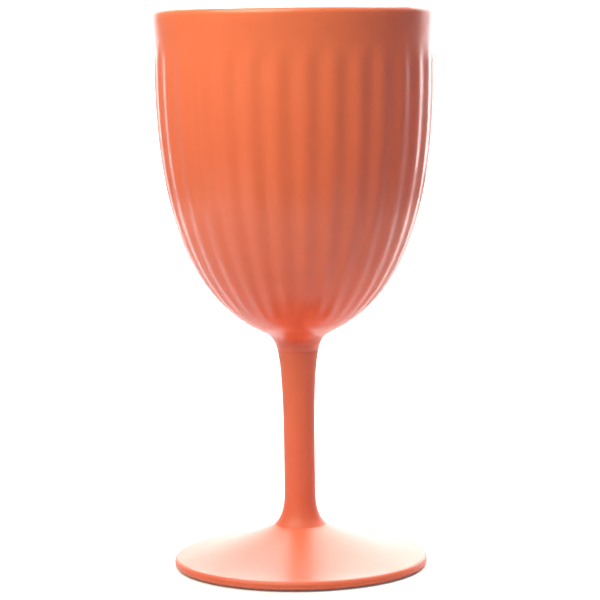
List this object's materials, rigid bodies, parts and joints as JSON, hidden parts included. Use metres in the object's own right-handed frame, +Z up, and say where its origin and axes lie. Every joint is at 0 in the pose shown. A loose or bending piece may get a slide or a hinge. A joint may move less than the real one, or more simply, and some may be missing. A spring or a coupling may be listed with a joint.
{
  "type": "goblet",
  "caption": "Stemmed drinking goblet in coral bamboo-fibre composite, with a fluted bowl, a slim tapered stem and a trumpet foot.",
  "frame": {"origin": "middle of the face that the goblet stands on", "axes": "+Z up along the axis from the foot to the rim"},
  "size_m": [0.085, 0.085, 0.17],
  "materials": {
    "bamboo_composite": "satin moulded bamboo-fibre composite, coral"
  },
  "bodies": {
    "root": {"base_plate": "bamboo_composite", "foot": "bamboo_composite", "stem": "bamboo_composite", "bowl": "bamboo_composite"}
  },
  "joints": []
}
